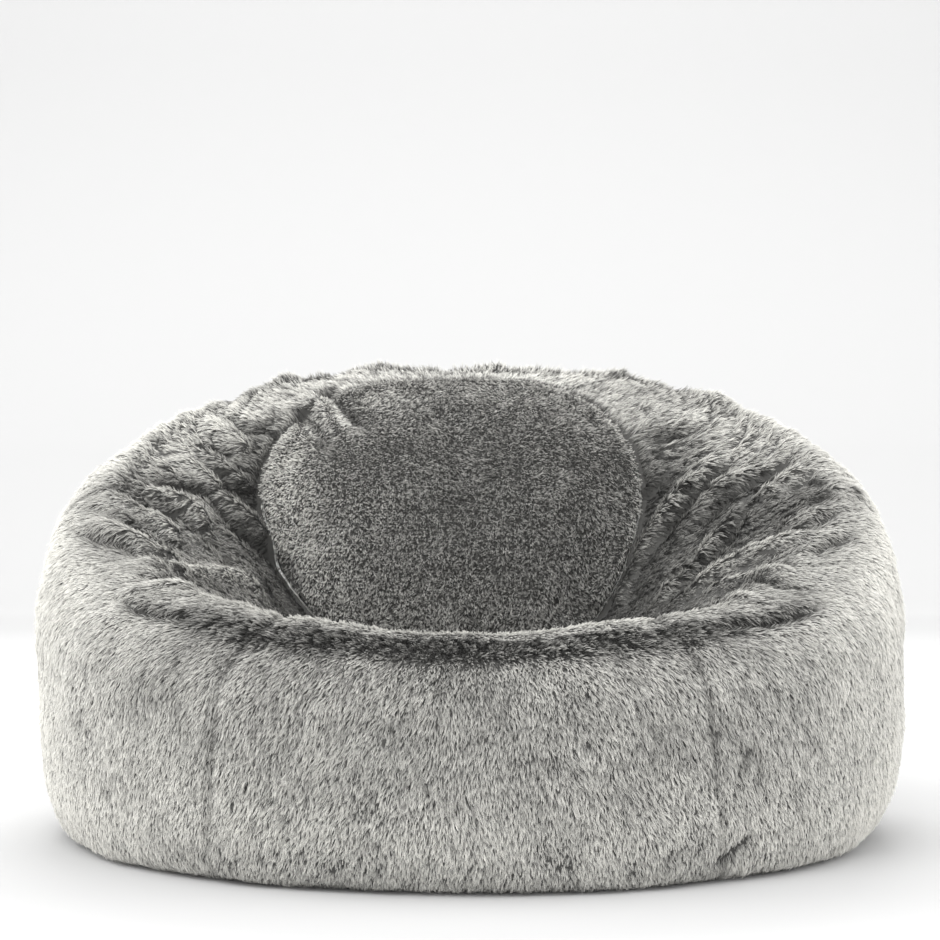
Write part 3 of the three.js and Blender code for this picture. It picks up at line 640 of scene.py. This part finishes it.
def tufts(seed, count, grid_deg, grid_row, disc, at_wall, wide):
    """Small closed spikes that lie along the nap."""
    deg, row, rng, _ = scatter(seed, count, grid_deg, grid_row)
    p, n = layer(deg, row, 1.0, at_wall)
    nap, length, angle, light, part = pile_field(deg, row, p, n, disc)
    turn = rng.normal(0, 0.15 if not disc else 0.45, count) * (1 + 1.5 * part)
    acr = np.cross(n, nap)
    nap = unit(nap * np.cos(turn)[:, None] + acr * np.sin(turn)[:, None])
    angle = np.clip(angle + rng.normal(0, 0.16, count), 0.12, 1.35)
    length = length * (0.65 + 0.6 * rng.random(count))
    d = unit(nap * np.cos(angle)[:, None] + n * np.sin(angle)[:, None])
    b1 = unit(np.cross(d, n))
    b2 = np.cross(b1, d)
    wide = wide * (0.7 + 0.6 * rng.random(count))[:, None]
    root = p - n * 0.0012
    tip = root + d * length[:, None]
    tip = tip - n * (0.10 * length * (1 - disc))[:, None]
    tip[:, 2] = np.maximum(tip[:, 2], 0.0008)
    v0 = root + b1 * wide
    v1 = root - b1 * wide
    v2 = root + b2 * wide * 0.55
    verts = np.stack([v0, v1, v2, tip], 1).reshape(-1, 3)
    verts[:, 2] = np.maximum(verts[:, 2], 0.0005)
    k = np.arange(count)[:, None] * 4
    tris = np.stack([k + [0, 2, 3], k + [2, 1, 3], k + [1, 0, 3], k + [0, 1, 2]], 1).reshape(-1, 3)
    light = np.clip(light - 0.05 + rng.normal(0, 0.05, count) * (1 + 1.5 * part), 0.02, 0.985)
    e = 0.0022
    uv4 = np.stack(
        [
            np.stack([np.full(count, 0.10), light - e], -1),
            np.stack([np.full(count, 0.10), light + e], -1),
            np.stack([np.full(count, 0.12), light], -1),
            np.stack([np.full(count, 0.995), light], -1),
        ],
        1,
    )
    order = np.array([[0, 2, 3], [2, 1, 3], [1, 0, 3], [0, 1, 2]])
    uvs = uv4[:, order].reshape(-1, 2)
    normal = unit(n * 0.8 + d * 0.3 + rng.normal(0, 0.14, (count, 3)))
    return verts, tris, uvs, np.repeat(normal, 4, 0)


PER_LOCK = 3


def strands(name, seed, count, grid_deg, grid_row, disc, at_wall, radius):
    """Fine strands over the tufts, gathered in small pointed locks."""
    locks = count // PER_LOCK
    count = locks * PER_LOCK
    deg, row, rng, _ = scatter(seed, locks, grid_deg, grid_row)
    p, n = layer(deg, row, 1.0, at_wall)
    nap, length, angle, light, part = pile_field(deg, row, p, n, disc)
    sway = 0.55 * noise(p, 0.011, 61) + 0.35 * noise(p, 0.006, 62)
    turn = sway * (0.4 if not disc else 1.1) * (1 + 1.5 * part) + rng.normal(0, 0.13 if not disc else 0.4, locks)
    acr = np.cross(n, nap)
    nap = unit(nap * np.cos(turn)[:, None] + acr * np.sin(turn)[:, None])
    angle = np.clip(angle + 0.18 * noise(p, 0.008, 63) + rng.normal(0, 0.10, locks), 0.1, 1.35)
    length = length * (0.75 + 0.6 * rng.random(locks)) * 1.08
    light = light + rng.normal(0, 0.055 if not disc else 0.08, locks) * (1 + part)
    steps = 4
    side = np.cross(n, nap)
    curl = rng.normal(0, 0.14 if not disc else 0.32, (locks, 1))
    line = np.zeros((locks, steps, 3))
    at = p - n * 0.001
    line[:, 0] = at
    for s in range(1, steps):
        f = (s - 0.5) / (steps - 1)
        a = (angle * (1.45 - 1.15 * f))[:, None]
        d = unit(nap * np.cos(a) + n * np.sin(a) + side * curl * (2 * f - 0.4))
        at = at + d * (length / (steps - 1))[:, None]
        line[:, s] = at
    spread = np.array([0.9, 1.0, 0.8, 0.5]) * (0.0008 if not disc else 0.0007)
    away = rng.normal(0, 1, (locks, PER_LOCK, 2))
    off = away[..., :1] * side[:, None] + away[..., 1:] * 0.6 * nap[:, None]
    pts = line[:, None] + off[:, :, None] * spread[None, None, :, None]
    pts = pts.reshape(count, steps, 3)
    pts[..., 2] = np.maximum(pts[..., 2], 0.0008)
    rad = radius * np.array([1.0, 0.95, 0.7, 0.15])[None] * (0.75 + 0.5 * rng.random((count, 1)))
    light = np.clip(np.repeat(light, PER_LOCK) + rng.normal(0, 0.04, count), 0.02, 0.985)
    h = bpy.data.hair_curves.new(name)
    h.add_curves([steps] * count)
    h.points.foreach_set("position", pts.astype(np.float32).ravel())
    h.points.foreach_set("radius", rad.astype(np.float32).ravel())
    att = h.attributes.new("tint", "FLOAT", "CURVE")
    att.data.foreach_set("value", light.astype(np.float32))
    o = bpy.data.objects.new(name, h)
    scene.collection.objects.link(o)
    h.materials.append(HAIR)
    return o


PANELS = [
    "front_panel",
    "front_right_panel",
    "rear_right_panel",
    "rear_panel",
    "rear_left_panel",
    "front_left_panel",
]
DISC_NODE = "top_disc_panel"
COUNT = 40500
STRANDS = 240000


def gore_columns(g, f, row):
    """Angle at fraction f across gore g, at a row."""
    lo = seam_angle((g + 5) % 6, row)
    hi = seam_angle(g, row)
    lo = lo - 360 if g == 0 else lo
    return lo + (hi - lo) * f


def gore_grid(g, m, n, margin=0.0):
    rows = np.linspace(0, DISC_ROW, m)[:, None] + np.zeros((1, n))
    f = margin + np.linspace(0, 1, n)[None] * (1 - 2 * margin) + np.zeros((m, 1))
    return gore_columns(g, f, rows), rows


def disc_grid(m, n, last=14.97):
    rows = np.linspace(DISC_ROW, last, m)[:, None] + np.zeros((1, n))
    degs = np.linspace(0, 360, n)[None] + np.zeros((m, 1))
    return degs, rows


def skin_uv(quads, verts_uv):
    return verts_uv[quads.ravel()]


def build_panel(name, g):
    disc = g is None
    if disc:
        m, n = 46, 150
        rows = DISC_ROW + 0.03 + (LAST_ROW - DISC_ROW - 0.06) * np.linspace(0, 1, m)[:, None] + np.zeros((1, n))
        degs = np.arange(n)[None] * (360 / n) + np.zeros((m, 1))
    else:
        m, n = 120, 56
        degs, rows = gore_grid(g, m, n, 0.0012)
    wall = 5.5 if disc else 8.0
    outer, nn = layer(degs, rows, 0.9, wall)
    inner, _ = layer(degs, rows, 8.3, 11.5)
    verts = np.vstack([outer.reshape(-1, 3), inner.reshape(-1, 3)])
    tris = None
    if disc:
        quads = shell_quads(m, n, close=True)
        # close the shell at the middle of the disc: drop its inner edge ring
        N = m * n
        top = (m - 1) * n
        quads = quads[~np.all(quads % N >= top, axis=1)]
        c_out = outer[-1].mean(0)
        c_in = inner[-1].mean(0)
        verts = np.vstack([verts, c_out, c_in])
        j = np.arange(n)
        k = (j + 1) % n
        tris = np.vstack(
            [
                np.stack([top + j, top + k, np.full(n, 2 * N)], -1),
                np.stack([N + top + k, N + top + j, np.full(n, 2 * N + 1)], -1),
            ]
        )
    else:
        quads = shell_quads(m, n)
        tris = np.zeros((0, 3), np.int32)
    base = len(verts)
    ii = (np.arange(base) // n) % 2
    jj = np.arange(base) % 2
    tint = (0.14 if disc else 0.26) + 0.06 * noise(verts, 0.05, 70)
    vuv = np.stack([0.12 + 0.03 * ii, tint + 0.004 * jj], -1)
    vn = np.vstack([nn.reshape(-1, 3), -nn.reshape(-1, 3)])
    if len(vn) < base:
        vn = np.vstack([vn, DISC_NORMAL, -DISC_NORMAL])
    if disc:
        gd, gr = disc_grid(120, 361)
    else:
        gd, gr = gore_grid(g, 330, 120)
    room = 199000 - 2 * len(quads) - len(tris)
    count = min(room // 4, 27000 if disc else 44000)
    tv, tt, tuv, tn = tufts(100 + (g if g is not None else 9), count, gd, gr, disc, wall, 0.00080 if disc else 0.00068)
    all_tris = np.vstack([tris, tt + base])
    uvs = np.vstack([vuv[quads.ravel()], vuv[tris.ravel()] if len(tris) else np.zeros((0, 2)), tuv])
    o = new_mesh(name + "_fur", np.vstack([verts, tv]), quads, all_tris, uvs)
    o.data.normals_split_custom_set_from_vertices(np.vstack([vn, tn]).astype(np.float32))
    o.data.materials.append(FUR_DISC if disc else FUR)
    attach(o, "bag")
    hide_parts(name)
    h = strands(name + "_strands", 200 + (g if g is not None else 9), STRANDS * 3 // 4 if disc else STRANDS, gd, gr, disc, wall, 0.00022 if disc else 0.00023)
    h.parent = o
    return o


for g, name in enumerate(PANELS):
    build_panel(name, g)
build_panel(DISC_NODE, None)


# ------------------------------------------------------- what the bag holds
def cloth_material(name, a, b, scale, rough=0.85):
    m, t, bs = material(name, rough)
    geo = t.nodes.new("ShaderNodeTexCoord")
    wave = []
    for axis in ("X", "Y"):
        w = t.nodes.new("ShaderNodeTexWave")
        w.wave_type = "BANDS"
        w.bands_direction = axis
        w.inputs["Scale"].default_value = scale
        w.inputs["Distortion"].default_value = 0.4
        t.links.new(geo.outputs["Object"], w.inputs["Vector"])
        wave.append(w.outputs["Fac"])
    mx = t.nodes.new("ShaderNodeMath")
    mx.operation = "MULTIPLY"
    t.links.new(wave[0], mx.inputs[0])
    t.links.new(wave[1], mx.inputs[1])
    no = t.nodes.new("ShaderNodeTexNoise")
    no.inputs["Scale"].default_value = 22
    no.inputs["Detail"].default_value = 4
    t.links.new(geo.outputs["Object"], no.inputs["Vector"])
    weave = ramp(t, mx.outputs[0], [(0.0, a), (0.7, b)])
    worn = ramp(t, no.outputs["Fac"], [(0.35, (0.8, 0.8, 0.8)), (0.7, (1, 1, 1))])
    t.links.new(mix(t, 1.0, weave, worn, "MULTIPLY"), bs.inputs["Base Color"])
    bump = t.nodes.new("ShaderNodeBump")
    bump.inputs["Strength"].default_value = 0.35
    bump.inputs["Distance"].default_value = 0.0006
    t.links.new(mx.outputs[0], bump.inputs["Height"])
    t.links.new(bump.outputs[0], bs.inputs["Normal"])
    bs.inputs["Specular IOR Level"].default_value = 0.3
    return m


BASE_CLOTH = cloth_material("woven_base_cloth", grey(0.020, 0), grey(0.055, 0), 260)
LINER_CLOTH = cloth_material("liner_cloth", grey(0.62), grey(0.82), 420, 0.8)
TAPE_CLOTH = cloth_material("zip_tape_weave", grey(0.012, 0), grey(0.035, 0), 620)


def metal_material():
    m, t, b = material("nickel", 0.32, 1.0)
    geo = t.nodes.new("ShaderNodeTexCoord")
    no = t.nodes.new("ShaderNodeTexNoise")
    no.inputs["Scale"].default_value = 900
    no.inputs["Detail"].default_value = 3
    t.links.new(geo.outputs["Object"], no.inputs["Vector"])
    t.links.new(ramp(t, no.outputs["Fac"], [(0.3, grey(0.42, 0)), (0.7, grey(0.62, 0))]), b.inputs["Base Color"])
    bump = t.nodes.new("ShaderNodeBump")
    bump.inputs["Strength"].default_value = 0.15
    bump.inputs["Distance"].default_value = 0.0001
    t.links.new(no.outputs["Fac"], bump.inputs["Height"])
    t.links.new(bump.outputs[0], b.inputs["Normal"])
    return m


def coil_material():
    m, t, b = material("zip_coil_nylon", 0.42)
    geo = t.nodes.new("ShaderNodeTexCoord")
    no = t.nodes.new("ShaderNodeTexNoise")
    no.inputs["Scale"].default_value = 300
    t.links.new(geo.outputs["Object"], no.inputs["Vector"])
    t.links.new(ramp(t, no.outputs["Fac"], [(0.3, grey(0.014, 0)), (0.7, grey(0.035, 0))]), b.inputs["Base Color"])
    return m


def bead_material():
    m, t, b = material("polystyrene_beads", 0.7)
    geo = t.nodes.new("ShaderNodeTexCoord")
    v = t.nodes.new("ShaderNodeTexVoronoi")
    v.inputs["Scale"].default_value = 210
    t.links.new(geo.outputs["Object"], v.inputs["Vector"])
    # painted shade: each bead is lighter at its middle and darker towards its edge and between beads
    t.links.new(ramp(t, v.outputs["Distance"], [(0.0, grey(0.93, 0.004)), (0.6, grey(0.82, 0.004)), (0.9, grey(0.5, 0.01))]), b.inputs["Base Color"])
    bump = t.nodes.new("ShaderNodeBump")
    bump.invert = True
    bump.inputs["Strength"].default_value = 0.8
    bump.inputs["Distance"].default_value = 0.0016
    t.links.new(v.outputs["Distance"], bump.inputs["Height"])
    t.links.new(bump.outputs[0], b.inputs["Normal"])
    return m


METAL, COIL, BEADS = metal_material(), coil_material(), bead_material()


def wall_layer(name, node, first, last, at_base, at_wall, thick_base, thick_wall, mat):
    """A wall of the liner: several gores in one cloth."""
    cols = []
    rows = np.linspace(0, DISC_ROW, 110)
    for g in range(first, last + 1):
        f = np.linspace(0, 1, 36)[None] + np.zeros((len(rows), 1))
        f = f[:, :-1] if g < last else f
        a = gore_columns(g % 6, f, rows[:, None] + 0 * f)
        cols.append(a + 360 * (g // 6))
    degs = np.concatenate(cols, 1)
    degs = degs + np.concatenate([[0.05], np.zeros(degs.shape[1] - 2), [-0.05]])[None]
    rr = rows[:, None] + 0 * degs
    outer, _ = layer(degs, rr, at_base, at_wall)
    inner, _ = layer(degs, rr, at_base + thick_base, at_wall + thick_wall)
    m, n = degs.shape
    o = new_mesh(name, np.vstack([outer.reshape(-1, 3), inner.reshape(-1, 3)]), shell_quads(m, n))
    o.data.materials.append(mat)
    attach(o, "bag")
    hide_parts(node)
    return o


def area_of(degs, rows, at_base, at_wall):
    p, _ = layer(degs, rows, at_base, at_wall)
    return np.linalg.norm(np.cross(p[1:, :-1] - p[:-1, :-1], p[:-1, 1:] - p[:-1, :-1]), axis=-1).sum()


wall_layer("liner_wall_rear_cloth", "liner_wall_rear", 2, 4, 9.3, 13.4, 6.2, 1.4, LINER_CLOTH)
wall_layer("liner_wall_front_cloth", "liner_wall_front", 5, 7, 9.3, 13.4, 6.2, 1.4, LINER_CLOTH)


def round_layer(name, node, at_wall, thick, mat):
    m, n = 30, 120
    rows = DISC_ROW + 0.03 + (LAST_ROW - DISC_ROW - 0.05) * np.linspace(0, 1, m)[:, None] + np.zeros((1, n))
    degs = np.arange(n)[None] * (360 / n) + np.zeros((m, 1))
    outer, _ = layer(degs, rows, at_wall, at_wall)
    inner, _ = layer(degs, rows, at_wall + thick, at_wall + thick)
    N = m * n
    quads = shell_quads(m, n, close=True)
    top = (m - 1) * n
    quads = quads[~np.all(quads % N >= top, axis=1)]
    verts = np.vstack([outer.reshape(-1, 3), inner.reshape(-1, 3), outer[-1].mean(0), inner[-1].mean(0)])
    j = np.arange(n)
    k = (j + 1) % n
    tris = np.vstack(
        [
            np.stack([top + j, top + k, np.full(n, 2 * N)], -1),
            np.stack([N + top + k, N + top + j, np.full(n, 2 * N + 1)], -1),
        ]
    )
    o = new_mesh(name, verts, quads, tris)
    o.data.materials.append(mat)
    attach(o, "bag")
    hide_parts(node)
    return o


round_layer("liner_top_cloth", "liner_top_panel", 13.4, 1.4, LINER_CLOTH)

CHANNEL, CHANNEL_Y = 0.357, 0.017


def base_cloth(name, node, side, z0, z1, mat, seed):
    """Half of a base: a cloth with a turned hem along the zip."""
    s = np.linspace(0, 1, 150)
    ang = (-90 + 180 * s) if side < 0 else (90 + 180 * s)
    rim = look(POINTS, ang, np.zeros(150))
    rim[:, :2] *= (1 - 0.0006 / np.linalg.norm(rim[:, :2], axis=1))[:, None]
    x_in = np.linspace(rim[0, 0], rim[-1, 0], 150)
    # square ends to the channel: two columns meet at each end of it
    for end in (-CHANNEL, CHANNEL):
        near = np.argsort(np.abs(x_in - end))[:2]
        near = near[np.argsort(np.abs(x_in[near]))]
        x_in[near[0]] = end
        x_in[near[1]] = end + np.sign(end) * 0.0005
    cut = np.abs(x_in) <= CHANNEL
    inner = np.stack([x_in, np.where(cut, side * CHANNEL_Y, side * 0.0004), 0 * x_in], -1)
    rim[[0, -1], 1] = side * 0.0004
    u = np.linspace(0, 1, 44) ** 1.15
    grid = inner[:, None] * (1 - u[None, :, None]) + rim[:, None] * u[None, :, None]
    low, top = grid.copy(), grid.copy()
    wave = 0.0005 * noise(grid, 0.05, seed) + 0.0003 * noise(grid, 0.015, seed + 1)
    hem = 0.0007 * np.exp(-(((u[None] - 0.03) / 0.012) ** 2))
    low[..., 2] = z0 + 0.0009 + wave + hem
    top[..., 2] = z1 - 0.0006 + 0.4 * wave
    m, n = low.shape[:2]
    quads = shell_quads(m, n)
    o = new_mesh(name, np.vstack([low.reshape(-1, 3), top.reshape(-1, 3)]), quads if side > 0 else quads)
    me = o.data
    import bmesh

    bm = bmesh.new()
    bm.from_mesh(me)
    bmesh.ops.recalc_face_normals(bm, faces=bm.faces)
    bm.to_mesh(me)
    bm.free()
    o.data.materials.append(mat)
    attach(o, "bag")
    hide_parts(node)
    return o


for side, word in ((-1, "front"), (1, "rear")):
    base_cloth(f"base_cloth_{word}", f"base_panel_{word}", side, 0.0, 0.0088, BASE_CLOTH, 81)
    base_cloth(f"liner_base_cloth_{word}", f"liner_base_{word}", side, 0.0093, 0.0157, LINER_CLOTH, 85)


def zip_tape(name, node, side, z0):
    xs = np.linspace(-0.3565, 0.3565, 600)
    ys = np.linspace(0.0009, 0.0165, 14) * side
    X, Y = np.meshgrid(xs, ys, indexing="ij")
    rib = 0.00006 * np.sin(X * 2 * math.pi / 0.0022 + Y * 900)
    low = np.stack([X, Y, z0 + 0.00008 + rib], -1)
    top = np.stack([X, Y, z0 + 0.00072 + rib], -1)
    m, n = X.shape
    q = shell_quads(m, n)
    verts = np.vstack([low.reshape(-1, 3), top.reshape(-1, 3)])
    if side > 0:
        q = q[:, ::-1]
    o = new_mesh(name, verts, q[:, ::-1])
    o.data.materials.append(TAPE_CLOTH)
    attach(o, "bag")
    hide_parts(node)
    return o


def zip_coil(name, node, side, z0):
    """Flattened nylon coil: one bent loop after another."""
    pitch = 0.0013
    turns = 528
    per = 8
    # one turn seen along the tape: out at the edge, in at the head
    a = 2 * math.pi * np.arange(per) / per
    y = 0.00195 + 0.00105 * np.cos(a)
    z = z0 + 0.00095 + 0.00062 * np.sin(a)
    k = np.arange(turns)[:, None]
    x = -0.343 + (k + a[None] / (2 * math.pi)) * pitch + 0.00016 * np.cos(a)[None]
    line = np.stack([x, np.broadcast_to(side * y, x.shape), np.broadcast_to(z, x.shape)], -1).reshape(-1, 3)
    r = 0.00027
    t = unit(np.gradient(line, axis=0))
    up = np.broadcast_to(np.array([1.0, 0, 0]), t.shape)
    e1 = unit(np.cross(t, up))
    e2 = np.cross(t, e1)
    ring = 2 * math.pi * np.arange(5) / 5
    tube = line[:, None] + r * (e1[:, None] * np.cos(ring)[None, :, None] + e2[:, None] * np.sin(ring)[None, :, None])
    m, n = tube.shape[:2]
    verts = tube.reshape(-1, 3)
    quads = grid_quads(m, n, 0, True)
    caps = np.array([[0, 1, 2], [0, 2, 3], [0, 3, 4]])
    caps = np.vstack([caps[:, ::-1], caps + (m - 1) * n])
    o = new_mesh(name, verts, quads, caps)
    o.data.materials.append(COIL)
    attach(o, "bag")
    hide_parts(node)
    return o


for prefix, base in (("", 0.0), ("liner_", 0.0067)):
    for side, word in ((-1, "front"), (1, "rear")):
        zip_tape(f"{prefix}tape_{word}", f"{prefix}zip_tape_{word}", side, base + 0.0066)
        zip_coil(f"{prefix}coil_{word}", f"{prefix}zip_coil_{word}", side, base + 0.0044)

for name in ("zip_slider_body", "zip_pull_tab", "zip_end_stop_left", "zip_end_stop_right", "liner_zip_slider"):
    o = nodes[name]
    o.data.materials.clear()
    o.data.materials.append(METAL)
    bev = o.modifiers.new("soft_edges", "BEVEL")
    bev.width = 0.00012
    bev.segments = 2
    bev.limit_method = "ANGLE"
    bev.angle_limit = math.radians(50)


def bead_fill():
    m, n = 150, 260
    rows = (0.02 + (LAST_ROW - 0.06) * np.linspace(0, 1, m))[:, None] + np.zeros((1, n))
    degs = np.arange(n)[None] * (360 / n) + np.zeros((m, 1))
    p, nn = layer(degs, rows, 17.6, 17.6)
    p[..., 2] = np.maximum(p[..., 2], 0.0170)
    pebble = 0.0009 * noise(p, 0.009, 91) + 0.0006 * noise(p, 0.005, 92)
    inside = rows > 1.2
    p = p + nn * np.where(inside, pebble, 0)[..., None]
    verts = np.vstack([p.reshape(-1, 3), p[-1].mean(0), [[0, 0, 0.0170]]])
    quads = grid_quads(m, n, 0, True)
    j = np.arange(n)
    k = (j + 1) % n
    top = (m - 1) * n
    tris = np.vstack([np.stack([top + j, top + k, np.full(n, m * n)], -1), np.stack([k, j, np.full(n, m * n + 1)], -1)])
    o = new_mesh("bead_heap", verts, quads, tris)
    o.data.materials.append(BEADS)
    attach(o, "bag")
    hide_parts("bead_fill")


bead_fill()


# ------------------------------------------------------------------- studio
# tone of the paper along its run from front to back and up, so that it reads
# as one even white: (metres back from y = 2 plus metres up) / 10, tone
PAPER = [
    (0.0, 0.462),
    (0.05, 0.453),
    (0.079, 0.443),
    (0.1066, 0.449),
    (0.121, 0.467),
    (0.1366, 0.489),
    (0.1525, 0.521),
    (0.1705, 0.521),
    (0.216, 0.547),
    (0.2543, 0.567),
    (0.2938, 0.593),
    (0.4, 0.596),
]


def backdrop():
    """A pale floor that curves up behind."""
    m, t, b = material("backdrop_paper", 0.9)
    co = t.nodes.new("ShaderNodeTexCoord")
    xyz = t.nodes.new("ShaderNodeSeparateXYZ")
    t.links.new(co.outputs["Object"], xyz.inputs[0])
    run = t.nodes.new("ShaderNodeMath")
    run.operation = "ADD"
    t.links.new(xyz.outputs[1], run.inputs[0])
    t.links.new(xyz.outputs[2], run.inputs[1])
    scaled = t.nodes.new("ShaderNodeMath")
    scaled.operation = "MULTIPLY_ADD"
    t.links.new(run.outputs[0], scaled.inputs[0])
    scaled.inputs[1].default_value = 0.1
    scaled.inputs[2].default_value = -0.2
    t.links.new(ramp(t, scaled.outputs[0], [(h, grey(v, 0)) for h, v in PAPER]), b.inputs["Base Color"])
    b.inputs["Specular IOR Level"].default_value = 0.0
    r, back = 1.6, 5.0
    prof = [(-12, 0), (-6, 0), (back - r, 0)]
    for k in range(1, 25):
        a = math.pi / 2 * k / 24
        prof.append((back - r + r * math.sin(a), r - r * math.cos(a)))
    prof.append((back, 9))
    pts = []
    for x in (-14, 14):
        pts += [(x, y, z) for y, z in prof]
    n = len(prof)
    quads = [[k, k + n, k + n + 1, k + 1] for k in range(n - 1)]
    o = new_mesh("studio_floor", np.array(pts, float), np.array(quads))
    o.data.materials.append(m)


backdrop()

world = bpy.data.worlds.new("studio")
scene.world = world
world.use_nodes = True
bg = world.node_tree.nodes["Background"]
bg.inputs[0].default_value = (1, 1, 1, 1)
bg.inputs[1].default_value = 1.08


def area(name, at, target, size, power, size_y=None):
    d = bpy.data.lights.new(name, "AREA")
    d.shape = "RECTANGLE"
    d.size = size
    d.size_y = size_y or size
    d.energy = power
    o = bpy.data.objects.new(name, d)
    scene.collection.objects.link(o)
    o.location = at
    o.rotation_euler = (Vector(target) - Vector(at)).to_track_quat("-Z", "Y").to_euler()
    return o


area("key", (-1.3, -2.6, 3.0), (0, 0, 0.25), 2.4, 85)
area("front", (0.2, -5.0, 1.1), (0, 0, 0.2), 3.4, 90, 1.8)
area("left", (-3.4, 0.2, 1.5), (-0.3, 0, 0.2), 2.6, 75)
area("right", (3.4, 0.2, 1.5), (0.3, 0, 0.2), 2.6, 70)
area("back", (0.0, 2.6, 2.6), (0, 0, 0.4), 3.0, 115, 1.4)
area("floor_wash", (0, -1.0, 5.5), (0, 1.5, 0), 7.0, 150)

cam = bpy.data.cameras.new("camera")
cam.sensor_width = 36
cam.lens = 104.7
camera = bpy.data.objects.new("camera", cam)
scene.collection.objects.link(camera)
camera.location = (0, -3.5, 0.55)
camera.rotation_euler = (math.radians(88.55), 0, 0)
scene.camera = camera
scene.view_settings.view_transform = "Standard"
scene.view_settings.look = "None"
